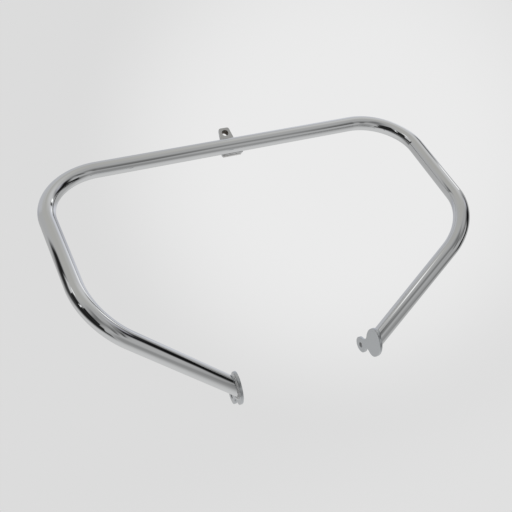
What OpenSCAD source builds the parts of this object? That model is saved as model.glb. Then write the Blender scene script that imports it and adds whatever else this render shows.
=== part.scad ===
// Motorcycle crash bars: one bent round tube, a drilled tab at the top and a lug plate on each end.
// X runs across the motorcycle, and +X is the rider's left. -Y is forward and +Z is up.
// The origin is the middle of the upper bolt hole, where its spacer seats on the motorcycle.

/* [Tube] */
// Outside diameter of the tube
tube_d = 31.75; // [28:0.05:38]
// Wall of the tube
tube_wall = 2.6; // [1.6:0.1:4]
// Radius of every bend, to the centre of the tube
bend_radius = 110; // [80:1:125]
// How much the tube's radius draws in through a bend
bend_draw_in = 0.1; // [0.05:0.05:0.4]
// Half the width at the upper corners, where the centrelines cross
corner_half = 410; // [370:1:450]
// Half the width at the lower bends, where the centrelines cross
bend_half = 377; // [350:1:410]
// Drop from the top run to the lower bends, where the centrelines cross
bend_drop = 356; // [320:1:420]

/* [End plates] */
// Clear width between the two end plates
plate_gap = 292; // [250:1:330]
// Thickness of each end plate
plate_thickness = 6; // [4:0.5:10]
// How far behind the top run each leg meets its plate
leg_back = 195.5; // [150:0.5:240]
// How far below the top run each leg meets its plate
leg_drop = 443; // [420:0.5:500]
// How far behind the leg's middle the middle of the oval lies
oval_back = 4; // [0:0.5:6]
// How far below the leg's middle the middle of the oval lies
oval_down = 1.5; // [0:0.5:3]
// Half the length of the oval that closes the tube
oval_half_length = 34; // [32:0.5:42]
// Half the height of the oval that closes the tube
oval_half_height = 24.5; // [23:0.5:29]
// Radius of the oval's two ends
oval_end_radius = 18; // [16:0.5:22]
// Slope of the oval, falling towards the rear, in degrees
oval_slope = 12; // [5:1:30]
// How far behind the middle of the oval the bolt hole lies
lug_back = 48; // [42:0.5:60]
// How far above the middle of the oval the bolt hole lies
lug_up = 28; // [15:0.5:32]
// Radius of the lug round the bolt hole
lug_radius = 17; // [12:0.5:20]
// Radius of the hollow between oval and lug on the upper side
upper_neck_radius = 20; // [10:0.5:30]
// Radius of the hollow between oval and lug on the lower side
neck_radius = 9; // [6:0.5:14]
// Diameter of the bolt hole in each end plate
plate_hole_d = 11; // [8:0.1:14]
// How much further its lug is turned down on the rider's right than on the left, in degrees
right_turn = 15; // [0:1:20]

/* [Upper tab] */
// Lean of the tab towards the front at its top, in degrees
tab_lean = 24.5; // [0:0.5:40]
// Thickness of the tab
tab_thickness = 6.5; // [4:0.5:10]
// Width of the tab along its lower edge
tab_width_low = 44; // [38:0.5:60]
// Width of the tab along its top edge
tab_width_top = 23; // [20:0.5:34]
// Reach of the tab below the middle of the tube
tab_below = 14.5; // [14:0.5:22]
// Distance from the bolt hole up to the top edge of the tab
tab_above_hole = 13; // [12:0.5:20]
// Radius of the tab's upper corners
tab_corner_radius = 5; // [2:0.5:9]
// Radius of the tab's lower corners
tab_foot_radius = 2; // [1:0.5:6]
// Distance from the middle of the tube up to the bolt hole
hole_up = 40; // [36:0.5:60]
// Diameter of the bolt hole in tab and spacer
tab_hole_d = 13.5; // [8:0.1:14]
// Diameter of the spacer behind the tab
spacer_d = 21; // [18:0.5:22]
// Length of the spacer behind the tab
spacer_length = 9; // [4:0.5:25]

/* [Welds] */
// Radius of the beads that join the tab and the tube
tab_bead = 4; // [3:0.1:5]
// Size of the bead round the spacer
spacer_bead = 2; // [1:0.1:2.5]
// Radius of the bead round each leg
leg_bead = 3.6; // [2.5:0.1:5]
// Step from one ripple of a bead to the next
bead_pitch = 3.2; // [2:0.1:4.5]

/* [Hidden] */
$fn = 96;
BEAD_FACETS = 28;
// Step between the points of an outline's arcs, in degrees
arc_step = 5;
full_turn = 360;
quarter_turn = 90;
chrome = [0.78, 0.80, 0.81];
weld_chrome = [0.66, 0.68, 0.70];
tube_r = tube_d / 2;
bore_r = tube_r - tube_wall;
// Every cut runs this far past what it cuts
past = 1;
// Each straight run reaches this far into the bend, over the drawn-in section
run_over = 2;

// Corners of the centreline on the rider's left, from the middle of the top run
upper_corner = [corner_half, 0, 0];
lower_corner = [bend_half, 0, -bend_drop];
plate_face = plate_gap / 2 + plate_thickness;
leg_end = [plate_face, leg_back, -leg_drop];
side_dir = (lower_corner - upper_corner) / norm(lower_corner - upper_corner);
leg_dir = (leg_end - lower_corner) / norm(leg_end - lower_corner);

// Turns of the two bends, and how far each bend starts from its corner
side_lean = atan2(-side_dir.x, -side_dir.z);
upper_turn = 90 + side_lean;
lower_turn = acos(side_dir * leg_dir);
upper_tangent = bend_radius * tan(upper_turn / 2);
lower_tangent = bend_radius * tan(lower_turn / 2);
leg_sweep = atan2(leg_dir.y, leg_dir * [cos(side_lean), 0, -sin(side_lean)]);

// How far the uncut leg runs past the plate's outer face so that the mitre is whole
leg_angle = acos(-leg_dir.x);
leg_overrun = tube_r * (tan(leg_angle) + 1);

// The middle of the top run, seen from the seat of the spacer
seat_depth = tube_r + tab_thickness + spacer_length;
tube_y = -(seat_depth * cos(tab_lean) - hole_up * sin(tab_lean));
tube_z = -(seat_depth * sin(tab_lean) + hole_up * cos(tab_lean));

tab_top = hole_up + tab_above_hole;
function tab_half_width(z) =
  (tab_width_low + (tab_width_top - tab_width_low) * (z + tab_below) / (tab_top + tab_below)) / 2;

// Angles that turn the Z axis to point along v
function aim(v) = [0, acos(v.z / norm(v)), atan2(v.y, v.x)];

// Middle of a circle of radius r that touches two other circles from outside, on the given side
function touching(p, p_radius, q, q_radius, r, side) =
  let (
    d = norm(q - p),
    u = (q - p) / d,
    a = p_radius + r,
    b = q_radius + r,
    along = (d * d + a * a - b * b) / (2 * d),
    across = sqrt(max(0, a * a - along * along))
  )
  p + along * u + side * across * [-u.y, u.x];

// The wanted radius of a hollow, raised where two circles lie too far apart for it
function hollow_radius(wanted, p, p_radius, q, q_radius) =
  max(wanted, (norm(q - p) - p_radius - q_radius) / 2 + 0.5);

module in_bar_frame() {
  translate([0, tube_y, tube_z]) children();
}

// Y points out of the tab's back and Z up along it, from the middle of the tube
module in_tab_frame() {
  in_bar_frame() rotate([tab_lean, 0, 0]) children();
}

module both_sides() {
  children();
  mirror([1, 0, 0]) children();
}

module straight(from, to, r) {
  translate(from) rotate(aim(to - from)) cylinder(r = r, h = norm(to - from));
}

module bend(r, turn) {
  rotate_extrude(angle = turn) translate([bend_radius, 0]) circle(r = r - bend_draw_in);
}

module leg(r) {
  straight(lower_corner + (lower_tangent - run_over) * leg_dir, leg_end + leg_overrun * leg_dir, r);
}

// One side of the bar as a round rod that follows the centreline from the first bend to past the plate
module side_rod(r) {
  translate([corner_half - upper_tangent, 0, -bend_radius])
    rotate([90, 0, 0]) rotate([0, 0, -side_lean]) bend(r, upper_turn);
  straight(
    upper_corner + (upper_tangent - run_over) * side_dir,
    lower_corner - (lower_tangent - run_over) * side_dir,
    r
  );
  translate(lower_corner) rotate([0, side_lean, 0]) rotate([0, 0, leg_sweep])
    translate([bend_radius, 0, lower_tangent])
    rotate([90, 0, 0]) rotate([0, 0, 180]) bend(r, lower_turn);
  leg(r);
}

module top_run(r) {
  top_half = corner_half - upper_tangent + run_over;
  straight([-top_half, 0, 0], [top_half, 0, 0], r);
}

module rod(r) {
  top_run(r);
  both_sides() side_rod(r);
}

// What both mitre cuts take away between the outer faces of the end plates
module between_plates() {
  reach = leg_overrun + tube_d;
  translate([-plate_face, leg_back - reach, -leg_drop - reach])
    cube([2 * plate_face, 2 * reach, 2 * reach]);
}

// Bent tube, hollow all the way and cut flat at both ends to meet the plates
module main_tube() {
  color(chrome) in_bar_frame() difference() {
    rod(tube_r);
    rod(bore_r);
    between_plates();
  }
}

// Direction of the vector from p to q, in degrees
function bearing(p, q) = atan2(q.y - p.y, q.x - p.x);

function on_circle(middle, r, angle) = middle + r * [cos(angle), sin(angle)];

// Points of an arc from bearing a to just before bearing b, clockwise with way = -1
function arc(middle, r, a, b, way = 1) =
  let (
    span = ((way * (b - a)) % full_turn + full_turn) % full_turn,
    steps = ceil(span / arc_step)
  )
  [for (i = [0:steps - 1]) on_circle(middle, r, a + way * span * i / steps)];

// A convex outline, given anticlockwise, with every corner rounded by its own radius
module rounded_outline(points, radii) {
  count = len(points);
  polygon([for (i = [0:count - 1])
    let (
      here = points[i],
      before = points[(i + count - 1) % count],
      after = points[(i + 1) % count],
      u = (before - here) / norm(before - here),
      v = (after - here) / norm(after - here),
      half = acos(u * v) / 2,
      middle = here + (u + v) / norm(u + v) * radii[i] / sin(half),
      from = bearing(before, here) - quarter_turn,
      to = bearing(here, after) - quarter_turn
    )
    each concat(arc(middle, radii[i], from, to), [on_circle(middle, radii[i], to)])]);
}

// Bolt hole through tab and spacer, in the tab's frame
module tab_hole() {
  translate([0, tube_r - past, hole_up]) rotate([-90, 0, 0])
    cylinder(d = tab_hole_d, h = tab_thickness + spacer_length + 2 * past);
}

module tab_plate() {
  outline = [
    [-tab_half_width(-tab_below), -tab_below],
    [tab_half_width(-tab_below), -tab_below],
    [tab_half_width(tab_top), tab_top],
    [-tab_half_width(tab_top), tab_top]
  ];
  radii = [tab_foot_radius, tab_foot_radius, tab_corner_radius, tab_corner_radius];
  translate([0, tube_r + tab_thickness, 0]) rotate([90, 0, 0])
    linear_extrude(tab_thickness) rounded_outline(outline, radii);
}

// Flat tapered tab that lies against the back of the top run
module centre_bracket() {
  color(chrome) in_tab_frame() difference() {
    tab_plate();
    tab_hole();
  }
}

// Round spacer that sets the bar off from the motorcycle
module centre_spacer() {
  color(chrome) in_tab_frame() difference() {
    translate([0, tube_r + tab_thickness, hole_up]) rotate([-90, 0, 0])
      cylinder(d = spacer_d, h = spacer_length);
    tab_hole();
  }
}

// Bead in the wedge between tube and tab, above the tube with side = 1 and below it with side = -1
module tab_weld(side) {
  depth = tab_bead * 0.45;
  height = sqrt(pow(tube_r + tab_bead * 0.4, 2) - pow(tube_r - depth, 2));
  half = tab_half_width(side * height) - side * tab_bead * 0.3;
  steps = ceil(2 * half / bead_pitch);
  color(weld_chrome) difference() {
    in_tab_frame() for (i = [0:steps])
      translate([-half + 2 * half * i / steps, tube_r - depth, side * height])
        sphere(r = tab_bead, $fn = BEAD_FACETS);
    in_bar_frame() top_run(tube_r);
    in_tab_frame() translate([-tab_width_low, tube_r, -2 * tab_top])
      cube([2 * tab_width_low, tab_thickness + tab_bead, 4 * tab_top]);
  }
}

// Bead round the foot of the spacer
module spacer_weld() {
  color(weld_chrome) in_tab_frame()
    translate([0, tube_r + tab_thickness, hole_up]) rotate([-90, 0, 0])
    rotate_extrude() translate([spacer_d / 2, 0]) intersection() {
      circle(r = spacer_bead);
      square(spacer_bead + past);
    }
}

// Outline of an end plate: an oval round its origin and a lug, joined by a hollow neck
module plate_outline() {
  lug = [lug_back, lug_up];
  turn = [cos(oval_slope), -sin(oval_slope)];
  rise = [sin(oval_slope), cos(oval_slope)];
  end_shift = oval_half_length - oval_end_radius;
  step = oval_half_height - oval_end_radius;
  drop = (end_shift * end_shift - step * step) / (2 * step);
  flank_radius = drop + oval_half_height;
  near_end = end_shift * turn;
  far_end = -near_end;
  upper_flank = -drop * rise;
  lower_flank = drop * rise;
  upper_r = hollow_radius(upper_neck_radius, upper_flank, flank_radius, lug, lug_radius);
  lower_r = hollow_radius(neck_radius, near_end, oval_end_radius, lug, lug_radius);
  upper_hollow = touching(upper_flank, flank_radius, lug, lug_radius, upper_r, 1);
  lower_hollow = touching(near_end, oval_end_radius, lug, lug_radius, lower_r, -1);
  polygon(concat(
    arc(far_end, oval_end_radius, bearing(upper_flank, far_end), bearing(lower_flank, far_end)),
    arc(lower_flank, flank_radius, bearing(lower_flank, far_end), bearing(lower_flank, near_end)),
    arc(near_end, oval_end_radius, bearing(lower_flank, near_end), bearing(near_end, lower_hollow)),
    arc(lower_hollow, lower_r, bearing(lower_hollow, near_end), bearing(lower_hollow, lug), -1),
    arc(lug, lug_radius, bearing(lug, lower_hollow), bearing(lug, upper_hollow)),
    arc(upper_hollow, upper_r, bearing(upper_hollow, lug), bearing(upper_hollow, upper_flank), -1),
    arc(upper_flank, flank_radius, bearing(upper_flank, upper_hollow), bearing(upper_flank, far_end))
  ));
}

// Flat plate that closes the leg on the rider's left, with its lug turned down by the given angle
module end_plate(turn) {
  color(chrome) in_bar_frame()
    translate([plate_gap / 2, leg_back + oval_back, -leg_drop - oval_down])
    rotate([-turn, 0, 0]) difference() {
      rotate([90, 0, 90]) linear_extrude(plate_thickness) plate_outline();
      translate([-past, lug_back, lug_up]) rotate([0, 90, 0])
        cylinder(d = plate_hole_d, h = plate_thickness + 2 * past);
    }
}

module left_end_plate() {
  end_plate(0);
}

module right_end_plate() {
  mirror([1, 0, 0]) end_plate(right_turn);
}

// Point of the leg's footprint on its plate, at the given angle round the tube and distance from its axis
function footprint(angle, r) =
  let (
    u = cross(leg_dir, [0, 0, 1]) / norm(cross(leg_dir, [0, 0, 1])),
    v = cross(leg_dir, u),
    rim = r * (cos(angle) * u + sin(angle) * v)
  )
  leg_end + rim - leg_dir * rim.x / leg_dir.x;

// Bead round the leg on the rider's left, where it stands on its plate
module leg_weld() {
  ring = 2 * PI * tube_r * (1 + 1 / cos(leg_angle)) / 2;
  steps = ceil(ring / bead_pitch);
  color(weld_chrome) in_bar_frame() difference() {
    for (i = [0:steps - 1])
      translate(footprint(360 * (i + 0.5) / steps, tube_r + leg_bead * 0.2))
        sphere(r = leg_bead, $fn = BEAD_FACETS);
    leg(tube_r);
    between_plates();
  }
}

module left_end_weld() {
  leg_weld();
}

module right_end_weld() {
  mirror([1, 0, 0]) leg_weld();
}

main_tube();
centre_bracket();
centre_spacer();
tab_weld(1);  // centre_weld_upper
tab_weld(-1);  // centre_weld_lower
spacer_weld();
left_end_plate();
right_end_plate();
left_end_weld();
right_end_weld();
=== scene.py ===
import math

import bmesh
import bpy
from mathutils import Matrix, Vector


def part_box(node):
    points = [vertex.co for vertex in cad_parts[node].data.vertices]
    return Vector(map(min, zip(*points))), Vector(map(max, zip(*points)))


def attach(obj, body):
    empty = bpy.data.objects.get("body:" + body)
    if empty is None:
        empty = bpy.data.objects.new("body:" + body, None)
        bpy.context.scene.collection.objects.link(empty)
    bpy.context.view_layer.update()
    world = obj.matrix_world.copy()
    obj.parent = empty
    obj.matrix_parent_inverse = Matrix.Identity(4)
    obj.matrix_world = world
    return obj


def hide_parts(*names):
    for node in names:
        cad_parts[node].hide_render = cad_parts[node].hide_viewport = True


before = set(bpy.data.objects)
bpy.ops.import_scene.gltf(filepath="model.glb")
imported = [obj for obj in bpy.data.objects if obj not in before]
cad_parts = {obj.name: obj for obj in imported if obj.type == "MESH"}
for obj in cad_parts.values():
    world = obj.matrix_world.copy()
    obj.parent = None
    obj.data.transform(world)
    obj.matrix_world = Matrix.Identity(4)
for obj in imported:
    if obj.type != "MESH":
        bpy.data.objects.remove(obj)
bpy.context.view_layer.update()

# Main tube
# One length of drawn steel tube, bent in a tube bender, then polished and chrome plated.
# It runs from plate to plate: leg, lower bend, side run, upper corner, top run, and the same again.
TUBE_RADIUS = 0.031750 / 2
BEND_RADIUS = 0.110
CORNER_HALF = 0.410
LOW_BEND_HALF = 0.377
LOW_BEND_DROP = 0.356
LEG_BACK = 0.1955
LEG_DROP = 0.443
PLATE_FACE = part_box("left_end_plate")[1][0]

tube_low, tube_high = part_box("main_tube")
TUBE_MIDDLE = Vector((0, tube_low[1] + TUBE_RADIUS, tube_high[2] - TUBE_RADIUS))


class Shade:
    """A shader socket that can be added, multiplied and turned negative like a number."""

    def __init__(self, tree, socket):
        self.tree = tree
        self.socket = socket

    def node(self, kind, inputs=None, **settings):
        made = self.tree.nodes.new(kind)
        for name, value in settings.items():
            setattr(made, name, value)
        for name, value in (inputs or {}).items():
            if isinstance(value, Shade):
                self.tree.links.new(value.socket, made.inputs[name])
            else:
                made.inputs[name].default_value = value
        return made

    def out(self, kind, output, inputs=None, **settings):
        return Shade(self.tree, self.node(kind, inputs, **settings).outputs[output])

    def math(self, operation, *values):
        made = self.tree.nodes.new("ShaderNodeMath")
        made.operation = operation
        for place, value in enumerate(values):
            if isinstance(value, Shade):
                self.tree.links.new(value.socket, made.inputs[place])
            else:
                made.inputs[place].default_value = value
        return Shade(self.tree, made.outputs[0])

    def __add__(self, other):
        return self.math("ADD", self, other)

    def __radd__(self, other):
        return self.math("ADD", other, self)

    def __mul__(self, other):
        return self.math("MULTIPLY", self, other)

    def __rmul__(self, other):
        return self.math("MULTIPLY", other, self)

    def __neg__(self):
        return self.math("MULTIPLY", self, -1)

    def smooth(self, low, high):
        """Rises from 0 at low to 1 at high."""
        return self.out("ShaderNodeMapRange", "Result", {"Value": self, "From Min": low, "From Max": high},
                        interpolation_type="SMOOTHSTEP")

    def band(self, low, high, soft):
        """1 between low and high, fading to 0 over a stretch of the given width at both ends."""
        return self.smooth(low - soft / 2, low + soft / 2) * self.smooth(high + soft / 2, high - soft / 2)

    def blend(self, first, second):
        """Mixes two colours, with this value as the share of the second."""
        made = self.node("ShaderNodeMix", data_type="RGBA")
        self.tree.links.new(self.socket, made.inputs[0])
        for place, colour in ((6, first), (7, second)):
            if isinstance(colour, Shade):
                self.tree.links.new(colour.socket, made.inputs[place])
            else:
                made.inputs[place].default_value = colour
        return Shade(self.tree, made.outputs[2])


def chrome_plate(name, colour, worn_colour, roughness, haze, wave_height, wave_scale):
    """Chrome plate over polished steel: faint polishing waves, hazy patches and fine wiping marks."""
    material = bpy.data.materials.new(name)
    material.use_nodes = True
    tree = material.node_tree
    surface = tree.nodes["Principled BSDF"]
    here = Shade(tree, None)
    place = here.out("ShaderNodeTexCoord", "Object")
    patches = here.out("ShaderNodeTexNoise", "Fac", {"Vector": place, "Scale": 9.0, "Detail": 3.0})
    specks = here.out("ShaderNodeTexNoise", "Fac", {"Vector": place, "Scale": 900.0, "Detail": 2.0})
    wipes = here.out("ShaderNodeTexNoise", "Fac",
                     {"Vector": place, "Scale": 260.0, "Detail": 4.0, "Distortion": 1.6})
    waves = here.out("ShaderNodeTexNoise", "Fac", {"Vector": place, "Scale": wave_scale, "Detail": 1.0})
    stain = patches.smooth(0.52, 0.78)
    tree.links.new(stain.blend(colour, worn_colour).socket, surface.inputs["Base Color"])
    wipe_share = 0.6
    rough = roughness + haze * patches.smooth(0.45, 0.8) + haze * wipe_share * wipes.smooth(0.55, 0.75)
    tree.links.new(rough.socket, surface.inputs["Roughness"])
    surface.inputs["Metallic"].default_value = 1.0
    speck_share = 0.02
    height = waves + speck_share * specks
    bumped = here.out("ShaderNodeBump", "Normal",
                      {"Height": height, "Strength": 1.0, "Distance": wave_height})
    tree.links.new(bumped.socket, surface.inputs["Normal"])
    return material


tube_chrome = chrome_plate("tube_chrome", (0.79, 0.80, 0.805, 1), (0.75, 0.76, 0.765, 1),
                           roughness=0.012, haze=0.02, wave_height=0.00003, wave_scale=22.0)


def tree_of_nodes(name, inputs):
    """A Geometry Nodes tree with named inputs; gives the tree, its input node and its output node."""
    tree = bpy.data.node_groups.new(name, "GeometryNodeTree")
    tree.interface.new_socket("Geometry", in_out="INPUT", socket_type="NodeSocketGeometry")
    for label, kind in inputs:
        tree.interface.new_socket(label, in_out="INPUT", socket_type=kind)
    tree.interface.new_socket("Geometry", in_out="OUTPUT", socket_type="NodeSocketGeometry")
    return tree, tree.nodes.new("NodeGroupInput"), tree.nodes.new("NodeGroupOutput")


def baked(source, tree, values, name):
    """Runs a tree on an object with the given inputs and gives its result as a plain mesh object."""
    modifier = source.modifiers.new("build", "NODES")
    modifier.node_group = tree
    for item in tree.interface.items_tree:
        if item.in_out == "INPUT" and item.name in values:
            modifier[item.identifier] = values[item.name]
    source.update_tag()
    bpy.context.view_layer.update()
    evaluated = source.evaluated_get(bpy.context.evaluated_depsgraph_get())
    mesh = bpy.data.meshes.new_from_object(evaluated)
    mesh.name = name
    made = bpy.data.objects.new(name, mesh)
    bpy.context.scene.collection.objects.link(made)
    bpy.data.objects.remove(source)
    return made


def polyline(points, closed=False):
    """An object that holds only a chain of points and edges, for a tree to build on."""
    mesh = bpy.data.meshes.new("path")
    edges = [(i, i + 1) for i in range(len(points) - 1)]
    if closed:
        edges.append((len(points) - 1, 0))
    mesh.from_pydata(points, edges, [])
    made = bpy.data.objects.new("path", mesh)
    bpy.context.scene.collection.objects.link(made)
    return made


def tube_tree():
    tree, given, result = tree_of_nodes("bent_tube", [
        ("Bend radius", "NodeSocketFloat"), ("Bend steps", "NodeSocketInt"),
        ("Tube radius", "NodeSocketFloat"), ("Tube sides", "NodeSocketInt"),
        ("Finish", "NodeSocketMaterial")])
    new, link = tree.nodes.new, tree.links.new
    to_curve = new("GeometryNodeMeshToCurve")
    rounded = new("GeometryNodeFilletCurve")
    rounded.mode = "POLY"
    ring = new("GeometryNodeCurvePrimitiveCircle")
    sweep = new("GeometryNodeCurveToMesh")
    smooth = new("GeometryNodeSetShadeSmooth")
    finish = new("GeometryNodeSetMaterial")
    link(given.outputs["Geometry"], to_curve.inputs["Mesh"])
    link(to_curve.outputs["Curve"], rounded.inputs["Curve"])
    link(given.outputs["Bend radius"], rounded.inputs["Radius"])
    link(given.outputs["Bend steps"], rounded.inputs["Count"])
    link(given.outputs["Tube radius"], ring.inputs["Radius"])
    link(given.outputs["Tube sides"], ring.inputs["Resolution"])
    link(rounded.outputs["Curve"], sweep.inputs["Curve"])
    link(ring.outputs["Curve"], sweep.inputs["Profile Curve"])
    link(sweep.outputs["Mesh"], smooth.inputs["Geometry"])
    real = new("GeometryNodeRealizeInstances")
    link(smooth.outputs["Geometry"], real.inputs["Geometry"])
    link(real.outputs["Geometry"], finish.inputs["Geometry"])
    link(given.outputs["Finish"], finish.inputs["Material"])
    link(finish.outputs["Geometry"], result.inputs["Geometry"])
    return tree


def bar_point(x, y, z):
    return TUBE_MIDDLE + Vector((x, y, z))


low_corner = bar_point(LOW_BEND_HALF, 0, -LOW_BEND_DROP)
leg_end = bar_point(PLATE_FACE, LEG_BACK, -LEG_DROP)
leg_direction = (leg_end - low_corner).normalized()
leg_past = leg_end + 2 * TUBE_RADIUS * leg_direction
right_half = [leg_past, low_corner, bar_point(CORNER_HALF, 0, 0)]
mirrored = [Vector((-p.x, p.y, p.z)) for p in reversed(right_half)]
tube = baked(polyline([tuple(p) for p in right_half + mirrored]), tube_tree(), {
    "Bend radius": BEND_RADIUS, "Bend steps": 64, "Tube radius": TUBE_RADIUS, "Tube sides": 96,
    "Finish": tube_chrome}, "tube")


def cut_flat(piece, x):
    """Cuts a leg at the plane of the given x and takes away what lies nearer the middle."""
    # Only what lies at most this far above the leg's end is looked at
    reach = 0.1
    side = 1 if x > 0 else -1
    work = bmesh.new()
    work.from_mesh(piece.data)
    low = {v for v in work.verts if v.co.z < leg_end.z + reach and side * v.co.x > 0}
    near = list(low) + [g for g in list(work.edges) + list(work.faces) if low.issuperset(g.verts)]
    bmesh.ops.bisect_plane(work, geom=near, plane_co=(x, 0, 0), plane_no=(side, 0, 0), clear_inner=True)
    bmesh.ops.recalc_face_normals(work, faces=work.faces)
    work.to_mesh(piece.data)
    work.free()


cut_flat(tube, PLATE_FACE)
cut_flat(tube, -PLATE_FACE)
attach(tube, "root")
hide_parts("main_tube")

# End plates
# A flat steel plate on each leg: an oval closes the tube, and a lug behind it takes the lower bolt.
# Each is cut from 6 mm plate, its edges broken with a file, and plated with the rest of the bar.
PLATE_THICKNESS = PLATE_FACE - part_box("left_end_plate")[0][0]
OVAL_BACK = 0.004
OVAL_DOWN = 0.0015
OVAL_HALF_LENGTH = 0.034
OVAL_HALF_HEIGHT = 0.0245
OVAL_END_RADIUS = 0.018
OVAL_SLOPE = math.radians(12)
LUG = Vector((0.048, 0.028))
LUG_RADIUS = 0.017
UPPER_NECK_RADIUS = 0.020
LOWER_NECK_RADIUS = 0.009
PLATE_HOLE_RADIUS = 0.0055
RIGHT_TURN = math.radians(15)
PLATE_EDGE = 0.0009

plate_chrome = chrome_plate("plate_chrome", (0.60, 0.62, 0.635, 1), (0.50, 0.52, 0.54, 1),
                            roughness=0.10, haze=0.08, wave_height=0.00010, wave_scale=60.0)


def bearing(p, q):
    return math.atan2(q.y - p.y, q.x - p.x)


def arc(middle, radius, start, end, way=1, step=math.radians(4)):
    """Points of an arc from one bearing to another, without its last point."""
    span = (way * (end - start)) % (2 * math.pi)
    count = math.ceil(span / step)
    turns = [start + way * span * i / count for i in range(count)]
    return [middle + radius * Vector((math.cos(a), math.sin(a))) for a in turns]


def touching(p, p_radius, q, q_radius, radius, side):
    """Middle of a circle that touches two others from outside, on the given side of their line."""
    gap = (q - p).length
    u = (q - p) / gap
    a, b = p_radius + radius, q_radius + radius
    along = (gap * gap + a * a - b * b) / (2 * gap)
    return p + along * u + side * math.sqrt(a * a - along * along) * Vector((-u.y, u.x))


def plate_outline():
    turn = Vector((math.cos(OVAL_SLOPE), -math.sin(OVAL_SLOPE)))
    rise = Vector((math.sin(OVAL_SLOPE), math.cos(OVAL_SLOPE)))
    shift = OVAL_HALF_LENGTH - OVAL_END_RADIUS
    step = OVAL_HALF_HEIGHT - OVAL_END_RADIUS
    drop = (shift * shift - step * step) / (2 * step)
    flank_radius = drop + OVAL_HALF_HEIGHT
    near, far = shift * turn, -shift * turn
    upper, lower = -drop * rise, drop * rise
    above = touching(upper, flank_radius, LUG, LUG_RADIUS, UPPER_NECK_RADIUS, 1)
    below = touching(near, OVAL_END_RADIUS, LUG, LUG_RADIUS, LOWER_NECK_RADIUS, -1)
    return (arc(far, OVAL_END_RADIUS, bearing(upper, far), bearing(lower, far))
            + arc(lower, flank_radius, bearing(lower, far), bearing(lower, near))
            + arc(near, OVAL_END_RADIUS, bearing(lower, near), bearing(near, below))
            + arc(below, LOWER_NECK_RADIUS, bearing(below, near), bearing(below, LUG), -1)
            + arc(LUG, LUG_RADIUS, bearing(LUG, below), bearing(LUG, above))
            + arc(above, UPPER_NECK_RADIUS, bearing(above, LUG), bearing(above, upper), -1)
            + arc(upper, flank_radius, bearing(upper, above), bearing(upper, far)))


def circle(middle, radius, count=64):
    turns = [2 * math.pi * i / count for i in range(count)]
    return [middle + radius * Vector((math.cos(a), math.sin(a))) for a in turns]


def drilled(name, colour, film_colour, metallic):
    """The wall of a drilled hole: its metal under a thin film, and fine marks of the drill."""
    material = bpy.data.materials.new(name)
    material.use_nodes = True
    tree = material.node_tree
    surface = tree.nodes["Principled BSDF"]
    here = Shade(tree, None)
    place = here.out("ShaderNodeTexCoord", "Object")
    film = here.out("ShaderNodeTexNoise", "Fac", {"Vector": place, "Scale": 220.0, "Detail": 4.0})
    marks = here.out("ShaderNodeTexNoise", "Fac", {"Vector": place, "Scale": 1500.0, "Detail": 1.0})
    coated = film.smooth(0.35, 0.7).blend(colour, film_colour)
    tree.links.new(coated.socket, surface.inputs["Base Color"])
    bare_roughness, film_roughness = 0.42, 0.2
    rough = bare_roughness + film_roughness * film
    tree.links.new(rough.socket, surface.inputs["Roughness"])
    surface.inputs["Metallic"].default_value = metallic
    bumped = here.out("ShaderNodeBump", "Normal",
                      {"Height": marks, "Strength": 0.6, "Distance": 0.00005})
    tree.links.new(bumped.socket, surface.inputs["Normal"])
    return material


plated_bore = drilled("plated_bore", (0.62, 0.63, 0.64, 1), (0.45, 0.45, 0.45, 1), 1.0)
# The wall of the deep hole through the tab and its spacer is coloured a very dark brown
dark_brown_bore = drilled("dark_brown_bore", (0.17, 0.13, 0.09, 1), (0.07, 0.055, 0.045, 1), 0.8)


def cut_plate(name, outline, hole, hole_radius, thickness, edge, place, material, bore, sides=64):
    """A flat plate with a hole and rounded edges; place carries its flat frame into the bar's."""
    merge_distance = 1e-6
    flat_normal = 0.999
    rim = hole_radius + 0.3 * edge
    curve = bpy.data.curves.new(name, "CURVE")
    curve.dimensions = "2D"
    curve.fill_mode = "BOTH"
    curve.extrude = thickness / 2 - edge
    curve.bevel_depth = edge
    curve.bevel_resolution = 3
    curve.offset = -edge
    for loop in (outline, circle(hole, hole_radius, sides)):
        spline = curve.splines.new("POLY")
        spline.points.add(len(loop) - 1)
        for point, p in zip(spline.points, loop):
            point.co = (p.x, p.y, 0, 1)
        spline.use_cyclic_u = True
    source = bpy.data.objects.new(name, curve)
    bpy.context.scene.collection.objects.link(source)
    bpy.context.view_layer.update()
    mesh = bpy.data.meshes.new_from_object(source.evaluated_get(bpy.context.evaluated_depsgraph_get()))
    bpy.data.objects.remove(source)
    work = bmesh.new()
    work.from_mesh(mesh)
    bmesh.ops.remove_doubles(work, verts=work.verts, dist=merge_distance)
    bmesh.ops.recalc_face_normals(work, faces=work.faces)
    for face in work.faces:
        face.smooth = abs(face.normal.z) < flat_normal
        face.material_index = int((face.calc_center_median().to_2d() - hole).length < rim)
    mesh.materials.clear()
    mesh.materials.append(material)
    mesh.materials.append(bore)
    work.to_mesh(mesh)
    work.free()
    mesh.transform(place)
    if place.determinant() < 0:
        mesh.flip_normals()
    mesh.name = name
    piece = bpy.data.objects.new(name, mesh)
    bpy.context.scene.collection.objects.link(piece)
    return piece


for side, hand, turn in ((1, "left", 0), (-1, "right", RIGHT_TURN)):
    # The plate's flat frame has its X towards the rear, its Y up and its Z across the bar
    middle = bar_point(side * (PLATE_FACE - PLATE_THICKNESS / 2),
                       LEG_BACK + OVAL_BACK, -LEG_DROP - OVAL_DOWN)
    across = Matrix.Rotation(-turn, 4, "X") @ Matrix(((0, 0, side), (1, 0, 0), (0, 1, 0))).to_4x4()
    plate = cut_plate(hand + "_plate", plate_outline(), LUG, PLATE_HOLE_RADIUS,
                      PLATE_THICKNESS, PLATE_EDGE, Matrix.Translation(middle) @ across,
                      plate_chrome, plated_bore)
    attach(plate, "root")
    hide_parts(hand + "_end_plate")

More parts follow.
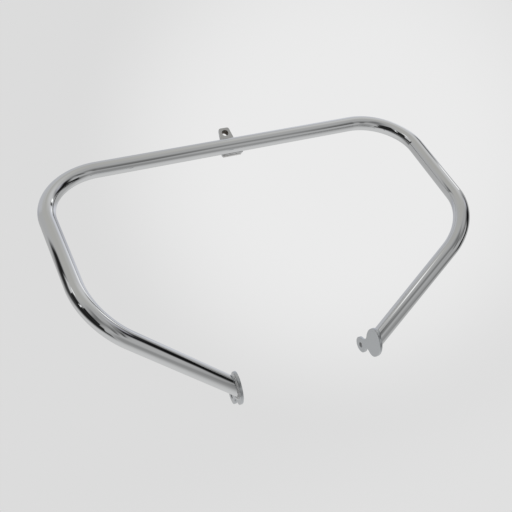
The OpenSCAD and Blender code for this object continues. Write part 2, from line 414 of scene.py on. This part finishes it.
# Weld beads
# Every joint is welded by hand with a filler rod, which leaves a row of overlapping ripples.
# The beads are only brushed before plating, so the chrome on them is duller than on the tube.
LEG_BEAD = 0.0036
LEG_RIPPLE_RADIUS = LEG_BEAD * 0.97
LEG_BEAD_OUTWARD = 0.2 * LEG_BEAD
LEG_BEAD_STEPS = 120
RIPPLE_PITCH = 0.0026
RIPPLE_THICKNESS_SHARE = 0.6
RIPPLE_SMALLEST = 0.84
RIPPLE_LARGEST = 1.02
UNEVEN = 0.35
LEAN_SEED = 7
SIZE_SEED = 11

weld_chrome = chrome_plate("weld_chrome", (0.78, 0.785, 0.79, 1), (0.55, 0.55, 0.55, 1),
                           roughness=0.03, haze=0.05, wave_height=0.00004, wave_scale=300.0)


def weld_tree():
    tree, given, result = tree_of_nodes("weld_bead", [
        ("Ripple pitch", "NodeSocketFloat"), ("Bead radius", "NodeSocketFloat"),
        ("Ripple thickness", "NodeSocketFloat"), ("Lean", "NodeSocketFloat"),
        ("Finish", "NodeSocketMaterial")])
    new, link = tree.nodes.new, tree.links.new
    to_curve = new("GeometryNodeMeshToCurve")
    points = new("GeometryNodeCurveToPoints")
    points.mode = "LENGTH"
    ripple = new("GeometryNodeMeshUVSphere")
    ripple.inputs["Segments"].default_value = 12
    ripple.inputs["Rings"].default_value = 6
    size = new("ShaderNodeCombineXYZ")
    place = new("GeometryNodeInstanceOnPoints")
    chance = new("FunctionNodeRandomValue")
    chance.data_type = "FLOAT_VECTOR"
    chance.inputs["Min"].default_value = (-1, -1, -1)
    chance.inputs["Seed"].default_value = LEAN_SEED
    lean = new("ShaderNodeVectorMath")
    lean.operation = "SCALE"
    tip = new("GeometryNodeRotateInstances")
    share = new("FunctionNodeRandomValue")
    share.inputs[2].default_value = RIPPLE_SMALLEST
    share.inputs[3].default_value = RIPPLE_LARGEST
    share.inputs["Seed"].default_value = SIZE_SEED
    resize = new("GeometryNodeScaleInstances")
    real = new("GeometryNodeRealizeInstances")
    smooth = new("GeometryNodeSetShadeSmooth")
    finish = new("GeometryNodeSetMaterial")
    link(chance.outputs["Value"], lean.inputs[0])
    link(given.outputs["Lean"], lean.inputs["Scale"])
    link(lean.outputs["Vector"], tip.inputs["Rotation"])
    link(share.outputs[1], resize.inputs["Scale"])
    link(given.outputs["Geometry"], to_curve.inputs["Mesh"])
    link(to_curve.outputs["Curve"], points.inputs["Curve"])
    link(given.outputs["Ripple pitch"], points.inputs["Length"])
    link(points.outputs["Points"], place.inputs["Points"])
    link(points.outputs["Rotation"], place.inputs["Rotation"])
    link(ripple.outputs["Mesh"], place.inputs["Instance"])
    link(given.outputs["Bead radius"], size.inputs["X"])
    link(given.outputs["Bead radius"], size.inputs["Y"])
    link(given.outputs["Ripple thickness"], size.inputs["Z"])
    link(size.outputs["Vector"], place.inputs["Scale"])
    link(place.outputs["Instances"], tip.inputs["Instances"])
    link(tip.outputs["Instances"], resize.inputs["Instances"])
    link(resize.outputs["Instances"], real.inputs["Geometry"])
    link(real.outputs["Geometry"], smooth.inputs["Geometry"])
    link(smooth.outputs["Geometry"], finish.inputs["Geometry"])
    link(given.outputs["Finish"], finish.inputs["Material"])
    link(finish.outputs["Geometry"], result.inputs["Geometry"])
    return tree


weld_bead = weld_tree()


def weld(name, node, path, radius, closed=False):
    """A bead of overlapping, uneven ripples along a path; it replaces the node, if one is named."""
    piece = baked(polyline([tuple(p) for p in path], closed), weld_bead, {
        "Ripple pitch": RIPPLE_PITCH, "Bead radius": radius,
        "Ripple thickness": RIPPLE_THICKNESS_SHARE * radius, "Lean": UNEVEN,
        "Finish": weld_chrome}, name)
    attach(piece, "root")
    if node:
        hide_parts(node)


def footprint(side, angle, radius):
    """A point of the leg's footprint on its plate, at an angle round the leg's axis."""
    u = leg_direction.cross(Vector((0, 0, 1))).normalized()
    v = leg_direction.cross(u)
    rim = radius * (math.cos(angle) * u + math.sin(angle) * v)
    point = leg_end + rim - leg_direction * rim.x / leg_direction.x
    return Vector((side * point.x, point.y, point.z))


for side, hand in ((1, "left"), (-1, "right")):
    ring = [footprint(side, 2 * math.pi * i / LEG_BEAD_STEPS, TUBE_RADIUS + LEG_BEAD_OUTWARD)
            for i in range(LEG_BEAD_STEPS)]
    weld(hand + "_leg_weld", hand + "_end_weld", ring, LEG_RIPPLE_RADIUS, closed=True)

# Upper tab
# A tapered tab cut from flat steel plate, welded against the back of the top run.
# It leans forward at its top, and its one hole takes the upper bolt.
TAB_LEAN = math.radians(24.5)
TAB_THICKNESS = 0.0065
TAB_WIDTH_LOW = 0.044
TAB_WIDTH_TOP = 0.023
TAB_BELOW = 0.0145
HOLE_UP = 0.040
TAB_TOP = HOLE_UP + 0.013
TAB_CORNER_RADIUS = 0.005
TAB_FOOT_RADIUS = 0.002
TAB_HOLE_RADIUS = 0.00675
TAB_EDGE = 0.0009

tab_frame = Matrix.Translation(TUBE_MIDDLE) @ Matrix.Rotation(TAB_LEAN, 4, "X")
bracket_chrome = chrome_plate("bracket_chrome", (0.68, 0.68, 0.67, 1), (0.58, 0.575, 0.565, 1),
                              roughness=0.09, haze=0.06, wave_height=0.0001, wave_scale=80.0)


def rounded(corners, radii):
    """A convex outline, given anticlockwise, with every corner rounded by its own radius."""
    # A hair more than the turn, so that rounding never changes an arc's number of steps
    hair = 1e-4
    quarter = math.pi / 2
    points = []
    for i, here in enumerate(corners):
        before, after = corners[i - 1], corners[(i + 1) % len(corners)]
        u, v = (before - here).normalized(), (after - here).normalized()
        half = u.angle(v) / 2
        middle = here + (u + v).normalized() * radii[i] / math.sin(half)
        points += arc(middle, radii[i], bearing(before, here) - quarter,
                      bearing(here, after) - quarter + hair, step=math.radians(8))
    return points


def tab_half_width(z):
    narrowing = TAB_WIDTH_TOP - TAB_WIDTH_LOW
    return (TAB_WIDTH_LOW + narrowing * (z + TAB_BELOW) / (TAB_TOP + TAB_BELOW)) / 2


low_half, top_half = tab_half_width(-TAB_BELOW), tab_half_width(TAB_TOP)
tab_corners = [Vector((-low_half, -TAB_BELOW)), Vector((low_half, -TAB_BELOW)),
               Vector((top_half, TAB_TOP)), Vector((-top_half, TAB_TOP))]
tab_radii = [TAB_FOOT_RADIUS, TAB_FOOT_RADIUS, TAB_CORNER_RADIUS, TAB_CORNER_RADIUS]
# The tab's flat frame has its Y up the tab and its Z towards the front
upright = Matrix(((1, 0, 0), (0, 0, -1), (0, 1, 0))).to_4x4()
tab_place = tab_frame @ Matrix.Translation((0, TUBE_RADIUS + TAB_THICKNESS / 2, 0)) @ upright
hole_middle = Vector((0, HOLE_UP))
tab = cut_plate("tab", rounded(tab_corners, tab_radii), hole_middle, TAB_HOLE_RADIUS,
                TAB_THICKNESS, TAB_EDGE, tab_place, bracket_chrome, dark_brown_bore)
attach(tab, "root")
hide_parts("centre_bracket")

TAB_BEAD = 0.0040
TAB_RIPPLE_RADIUS = TAB_BEAD * 0.98
TAB_BEAD_OUTWARD = TAB_BEAD * 0.4
TAB_BEAD_INSET = TAB_BEAD * 0.3
bead_depth = TAB_BEAD * 0.45
bead_height = math.sqrt((TUBE_RADIUS + TAB_BEAD_OUTWARD) ** 2 - (TUBE_RADIUS - bead_depth) ** 2)
for side, where in ((1, "upper"), (-1, "lower")):
    half = tab_half_width(side * bead_height) - side * TAB_BEAD_INSET
    ends = [tab_frame @ Vector((x, TUBE_RADIUS - bead_depth, side * bead_height))
            for x in (-half, half)]
    weld(where + "_tab_weld", "centre_weld_" + where, ends, TAB_RIPPLE_RADIUS)

# The lower bead starts and ends in a heavier puddle, drawn round the tab's corner
PUDDLE_RADIUS = 0.0042
PUDDLE_HALF_LENGTH = 0.0013
PUDDLE_INSET = 0.001
PUDDLE_UP = 0.0035
for side, hand in ((1, "left"), (-1, "right")):
    x = side * (low_half - PUDDLE_INSET)
    corner = [tab_frame @ Vector((x + dx, TUBE_RADIUS, -TAB_BELOW + PUDDLE_UP))
              for dx in (-PUDDLE_HALF_LENGTH, PUDDLE_HALF_LENGTH)]
    weld(hand + "_weld_puddle", None, corner, PUDDLE_RADIUS)

# Spacer
# A short round steel bush welded behind the tab, which sets the bar off from the motorcycle.
# Its two ends are faced in a lathe, and the bolt hole runs right through it.
SPACER_RADIUS = 0.0105
SPACER_LENGTH = 0.009
SPACER_EDGE = 0.0006
SPACER_SIDES = 96
SPACER_BEAD = 0.002
SPACER_RIPPLE_RADIUS = SPACER_BEAD * 0.85
SPACER_BEAD_OUTWARD = 0.0004

spacer_place = tab_frame @ Matrix.Translation(
    (0, TUBE_RADIUS + TAB_THICKNESS + SPACER_LENGTH / 2, 0)) @ upright
spacer = cut_plate("spacer", circle(hole_middle, SPACER_RADIUS, SPACER_SIDES), hole_middle,
                   TAB_HOLE_RADIUS, SPACER_LENGTH, SPACER_EDGE, spacer_place,
                   bracket_chrome, dark_brown_bore, SPACER_SIDES)
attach(spacer, "root")
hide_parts("centre_spacer")

tab_back = tab_frame @ Matrix.Translation((0, TUBE_RADIUS + TAB_THICKNESS, 0)) @ upright
foot = [tab_back @ Vector((p.x, p.y, 0))
        for p in circle(hole_middle, SPACER_RADIUS + SPACER_BEAD_OUTWARD)]
weld("spacer_bead", "spacer_weld", foot, SPACER_RIPPLE_RADIUS, closed=True)

# Floor
# A plain pale studio floor, well below the bar, which hangs at the height of its bolts.
# Mirror rays don't see it, so the chrome shows the tent below the horizon too.
FLOOR_DROP = 1.25
FLOOR_HALF = 30.0
FLOOR_GLOW = 0.27

floor_mesh = bpy.data.meshes.new("floor")
floor_mesh.from_pydata([(x * FLOOR_HALF, y * FLOOR_HALF, -FLOOR_DROP) for x, y in
                        ((-1, -1), (1, -1), (1, 1), (-1, 1))], [], [(0, 1, 2, 3)])
floor = bpy.data.objects.new("floor", floor_mesh)
bpy.context.scene.collection.objects.link(floor)
floor_paint = bpy.data.materials.new("floor_paint")
floor_paint.use_nodes = True
paint = floor_paint.node_tree.nodes["Principled BSDF"]
paint.inputs["Base Color"].default_value = (0.80, 0.80, 0.80, 1)
paint.inputs["Roughness"].default_value = 0.8
# Its own paleness, which only the camera sees and which lights nothing
floor_shade = Shade(floor_paint.node_tree, None)
seen = floor_shade.out("ShaderNodeLightPath", "Is Camera Ray")
glow = seen.blend((0, 0, 0, 1), (FLOOR_GLOW, FLOOR_GLOW, FLOOR_GLOW, 1))
floor_paint.node_tree.links.new(glow.socket, paint.inputs["Emission Color"])
paint.inputs["Emission Strength"].default_value = 1.0
floor_mesh.materials.append(floor_paint)
floor.visible_glossy = False

# Studio
# A grey light tent with dark openings, painted on the world by direction, for the chrome to mirror.
# A program fitted each area's place, size and grey to the bands on the photographed tube, and the
# names of the areas are readings of it. Azimuth 0 is the front and 90 the rider's left, in degrees.


def grey(level, tint=(1.0, 1.0, 1.0)):
    """The light that a screen shows at a level, where 255 is white and a lamp may be above it."""
    value = level / 255
    light = value / 12.92 if value <= 0.04045 else ((value + 0.055) / 1.055) ** 2.4
    return (light * tint[0], light * tint[1], light * tint[2], 1)


world = bpy.data.worlds.new("studio")
bpy.context.scene.world = world
world.use_nodes = True
sky = world.node_tree
here = Shade(sky, None)
toward = here.node("ShaderNodeSeparateXYZ", {"Vector": here.out("ShaderNodeTexCoord", "Generated")})
east, north, height = (Shade(sky, toward.outputs[i]) for i in range(3))
azimuth = here.math("ARCTAN2", east, -north) * (180 / math.pi)
from_rear = here.math("ARCTAN2", -east, north) * (180 / math.pi)
elevation = here.math("ARCSINE", height) * (180 / math.pi)


def hung(tent, around, middle, width, soft, height, depth, edge, level, tint=(1.0, 1.0, 1.0)):
    """The tent with one more area in it: its middle, width and soft edge round the tent, then up it."""
    across = around.band(middle - width / 2, middle + width / 2, soft)
    up = elevation.band(height - depth / 2, height + depth / 2, edge)
    return (across * up).blend(tent, grey(level, tint))


# Grey cloth all round, with a paler roof and a darker foot
cloth, roof, foot = grey(182), grey(195, (0.98, 0.99, 1.03)), grey(150)
tent = elevation.smooth(48, 54).blend(cloth, roof)
tent = elevation.smooth(-57, -80).blend(tent, foot)
# The front cloth lies in shade where it meets the ground
tent = hung(tent, azimuth, middle=-11, width=119, soft=27, height=-26, depth=35, edge=28, level=123)
# A bright sheet high on the left, and under it the gap to the dark room, with its shaded rim
tent = hung(tent, azimuth, middle=106, width=103, soft=30, height=51, depth=34, edge=19, level=220,
            tint=(0.97, 0.99, 1.06))
tent = hung(tent, azimuth, middle=96, width=42, soft=19, height=-44, depth=49, edge=32, level=136)
tent = hung(tent, azimuth, middle=63, width=33, soft=15, height=1, depth=45, edge=16, level=32,
            tint=(1, 0.92, 1.08))
# The open side on the right: the room, and in front of it a screen's dark back
tent = hung(tent, azimuth, middle=-100, width=42, soft=34, height=-13, depth=102, edge=4, level=8)
tent = hung(tent, azimuth, middle=-73, width=41, soft=19, height=-7, depth=93, edge=2, level=35)
# A lamp on each side
tent = hung(tent, azimuth, middle=-59, width=12, soft=27, height=27, depth=18, edge=1, level=252)
tent = hung(tent, azimuth, middle=54, width=21, soft=14, height=8, depth=4, edge=27, level=284,
            tint=(0.97, 0.97, 1.05))
# Folds of the front cloth, a little warmer than the rest
tent = hung(tent, azimuth, middle=-28, width=15, soft=32, height=17, depth=83, edge=17, level=183)
tent = hung(tent, azimuth, middle=18, width=30, soft=6, height=-14, depth=28, edge=27, level=178)
warm = azimuth.band(-45, 40, 40) * elevation.band(5, 62, 20)
warmer = here.out("ShaderNodeVectorMath", "Vector", {0: tent, 1: (1.01, 1.0, 0.96)}, operation="MULTIPLY")
tent = warm.blend(tent, warmer)
# Brighter cloth behind
tent = hung(tent, from_rear, middle=18, width=118, soft=29, height=-18, depth=85, edge=55, level=210)
# A dark stand before the front cloth, and paler cloth above the left gap
tent = hung(tent, azimuth, middle=14, width=17, soft=12, height=-48, depth=21, edge=13, level=112)
tent = hung(tent, azimuth, middle=46, width=54, soft=40, height=31, depth=25, edge=23, level=208)
# The shaded hem of the roof behind
tent = hung(tent, from_rear, middle=-11, width=170, soft=21, height=51, depth=7, edge=11, level=178,
            tint=(0.97, 0.98, 1.06))
# More of the dark room below the left sheet, and below the right screen
tent = hung(tent, azimuth, middle=85, width=29, soft=3, height=-17, depth=19, edge=21, level=22)
tent = hung(tent, azimuth, middle=84, width=16, soft=2, height=-33, depth=28, edge=2, level=30)
tent = hung(tent, azimuth, middle=-47, width=19, soft=7, height=-28, depth=33, edge=1, level=28)
# A lamp's narrow upper edge, and the posts of the left sheet
tent = hung(tent, azimuth, middle=68, width=12, soft=11, height=29, depth=6, edge=1, level=296)
tent = hung(tent, azimuth, middle=84, width=16, soft=5, height=-9, depth=39, edge=30, level=45)
tent = hung(tent, azimuth, middle=68, width=3, soft=8, height=-12, depth=25, edge=8, level=3)
# Slits in the screens, where the light comes through
tent = hung(tent, azimuth, middle=-43, width=5, soft=4, height=19, depth=14, edge=8, level=276)
tent = hung(tent, azimuth, middle=-56, width=13, soft=7, height=-5, depth=6, edge=2, level=266)
tent = hung(tent, azimuth, middle=80, width=20, soft=20, height=44, depth=5, edge=11, level=276)
# Narrow dark edges: the sheets' hems, the legs of the stands and the lamp's own housing
tent = hung(tent, azimuth, middle=70, width=23, soft=15, height=35, depth=5, edge=3, level=85)
tent = hung(tent, azimuth, middle=42, width=6, soft=10, height=-37, depth=20, edge=3, level=43)
tent = hung(tent, azimuth, middle=98, width=27, soft=10, height=-38, depth=17, edge=13, level=35)
tent = hung(tent, azimuth, middle=-54, width=9, soft=5, height=5, depth=20, edge=3, level=43)
tent = hung(tent, azimuth, middle=-84, width=14, soft=3, height=18, depth=33, edge=3, level=60)
tent = hung(tent, azimuth, middle=74, width=10, soft=8, height=-1, depth=19, edge=5, level=20)

# The backdrop paper that the camera sees behind the bar, brightest behind its middle
brightest = Vector((0.487, 0.599, 0.636))
facing = brightest.x * east + brightest.y * north + brightest.z * height
paper_edge, paper_middle, paper_low = grey(220), grey(235), grey(224)
paper = facing.smooth(0.89, 0.99).blend(paper_edge, paper_middle)
paper = elevation.smooth(6, 22).blend(paper_low, paper)
seen = here.out("ShaderNodeLightPath", "Is Camera Ray")
background = sky.nodes["Background"]
sky.links.new(seen.blend(tent, paper).socket, background.inputs["Color"])
background.inputs["Strength"].default_value = 1.0

lamp_data = bpy.data.lights.new("overhead", "AREA")
lamp_data.shape = "DISK"
lamp_data.size = 1.6
lamp_data.energy = 18
overhead = bpy.data.objects.new("overhead", lamp_data)
overhead.location = (0.3, -0.2, 2.2)
overhead.visible_glossy = False
bpy.context.scene.collection.objects.link(overhead)

# Camera
# It looks up at the bar from the front and from below the rider's right, as the photograph does.
FOCAL_PIXELS = 554.0
IMAGE_SIDE = 512
SENSOR = 36.0
CAMERA_FROM_TUBE = Vector((-0.38836, -0.72674, -0.89237))
LOOK_AZIMUTH = math.radians(23.62)
LOOK_ELEVATION = math.radians(36.69)
LOOK_ROLL = math.radians(28.71)
AXIS_ROW = 251.31

forward = Vector((math.sin(LOOK_AZIMUTH) * math.cos(LOOK_ELEVATION),
                  math.cos(LOOK_AZIMUTH) * math.cos(LOOK_ELEVATION), math.sin(LOOK_ELEVATION)))
level_right = forward.cross(Vector((0, 0, 1))).normalized()
level_up = level_right.cross(forward)
camera_up = math.cos(LOOK_ROLL) * level_up + math.sin(LOOK_ROLL) * level_right
camera_right = forward.cross(camera_up)
turned = Matrix((camera_right, camera_up, -forward)).transposed().to_4x4()
camera_data = bpy.data.cameras.new("camera")
camera_data.sensor_width = SENSOR
camera_data.lens = FOCAL_PIXELS / IMAGE_SIDE * SENSOR
camera_data.shift_y = (AXIS_ROW - IMAGE_SIDE / 2) / IMAGE_SIDE
camera_data.clip_start = 0.01
camera = bpy.data.objects.new("camera", camera_data)
camera.matrix_world = Matrix.Translation(TUBE_MIDDLE + CAMERA_FROM_TUBE) @ turned
bpy.context.scene.collection.objects.link(camera)
bpy.context.scene.camera = camera

bpy.context.scene.view_settings.view_transform = "Standard"
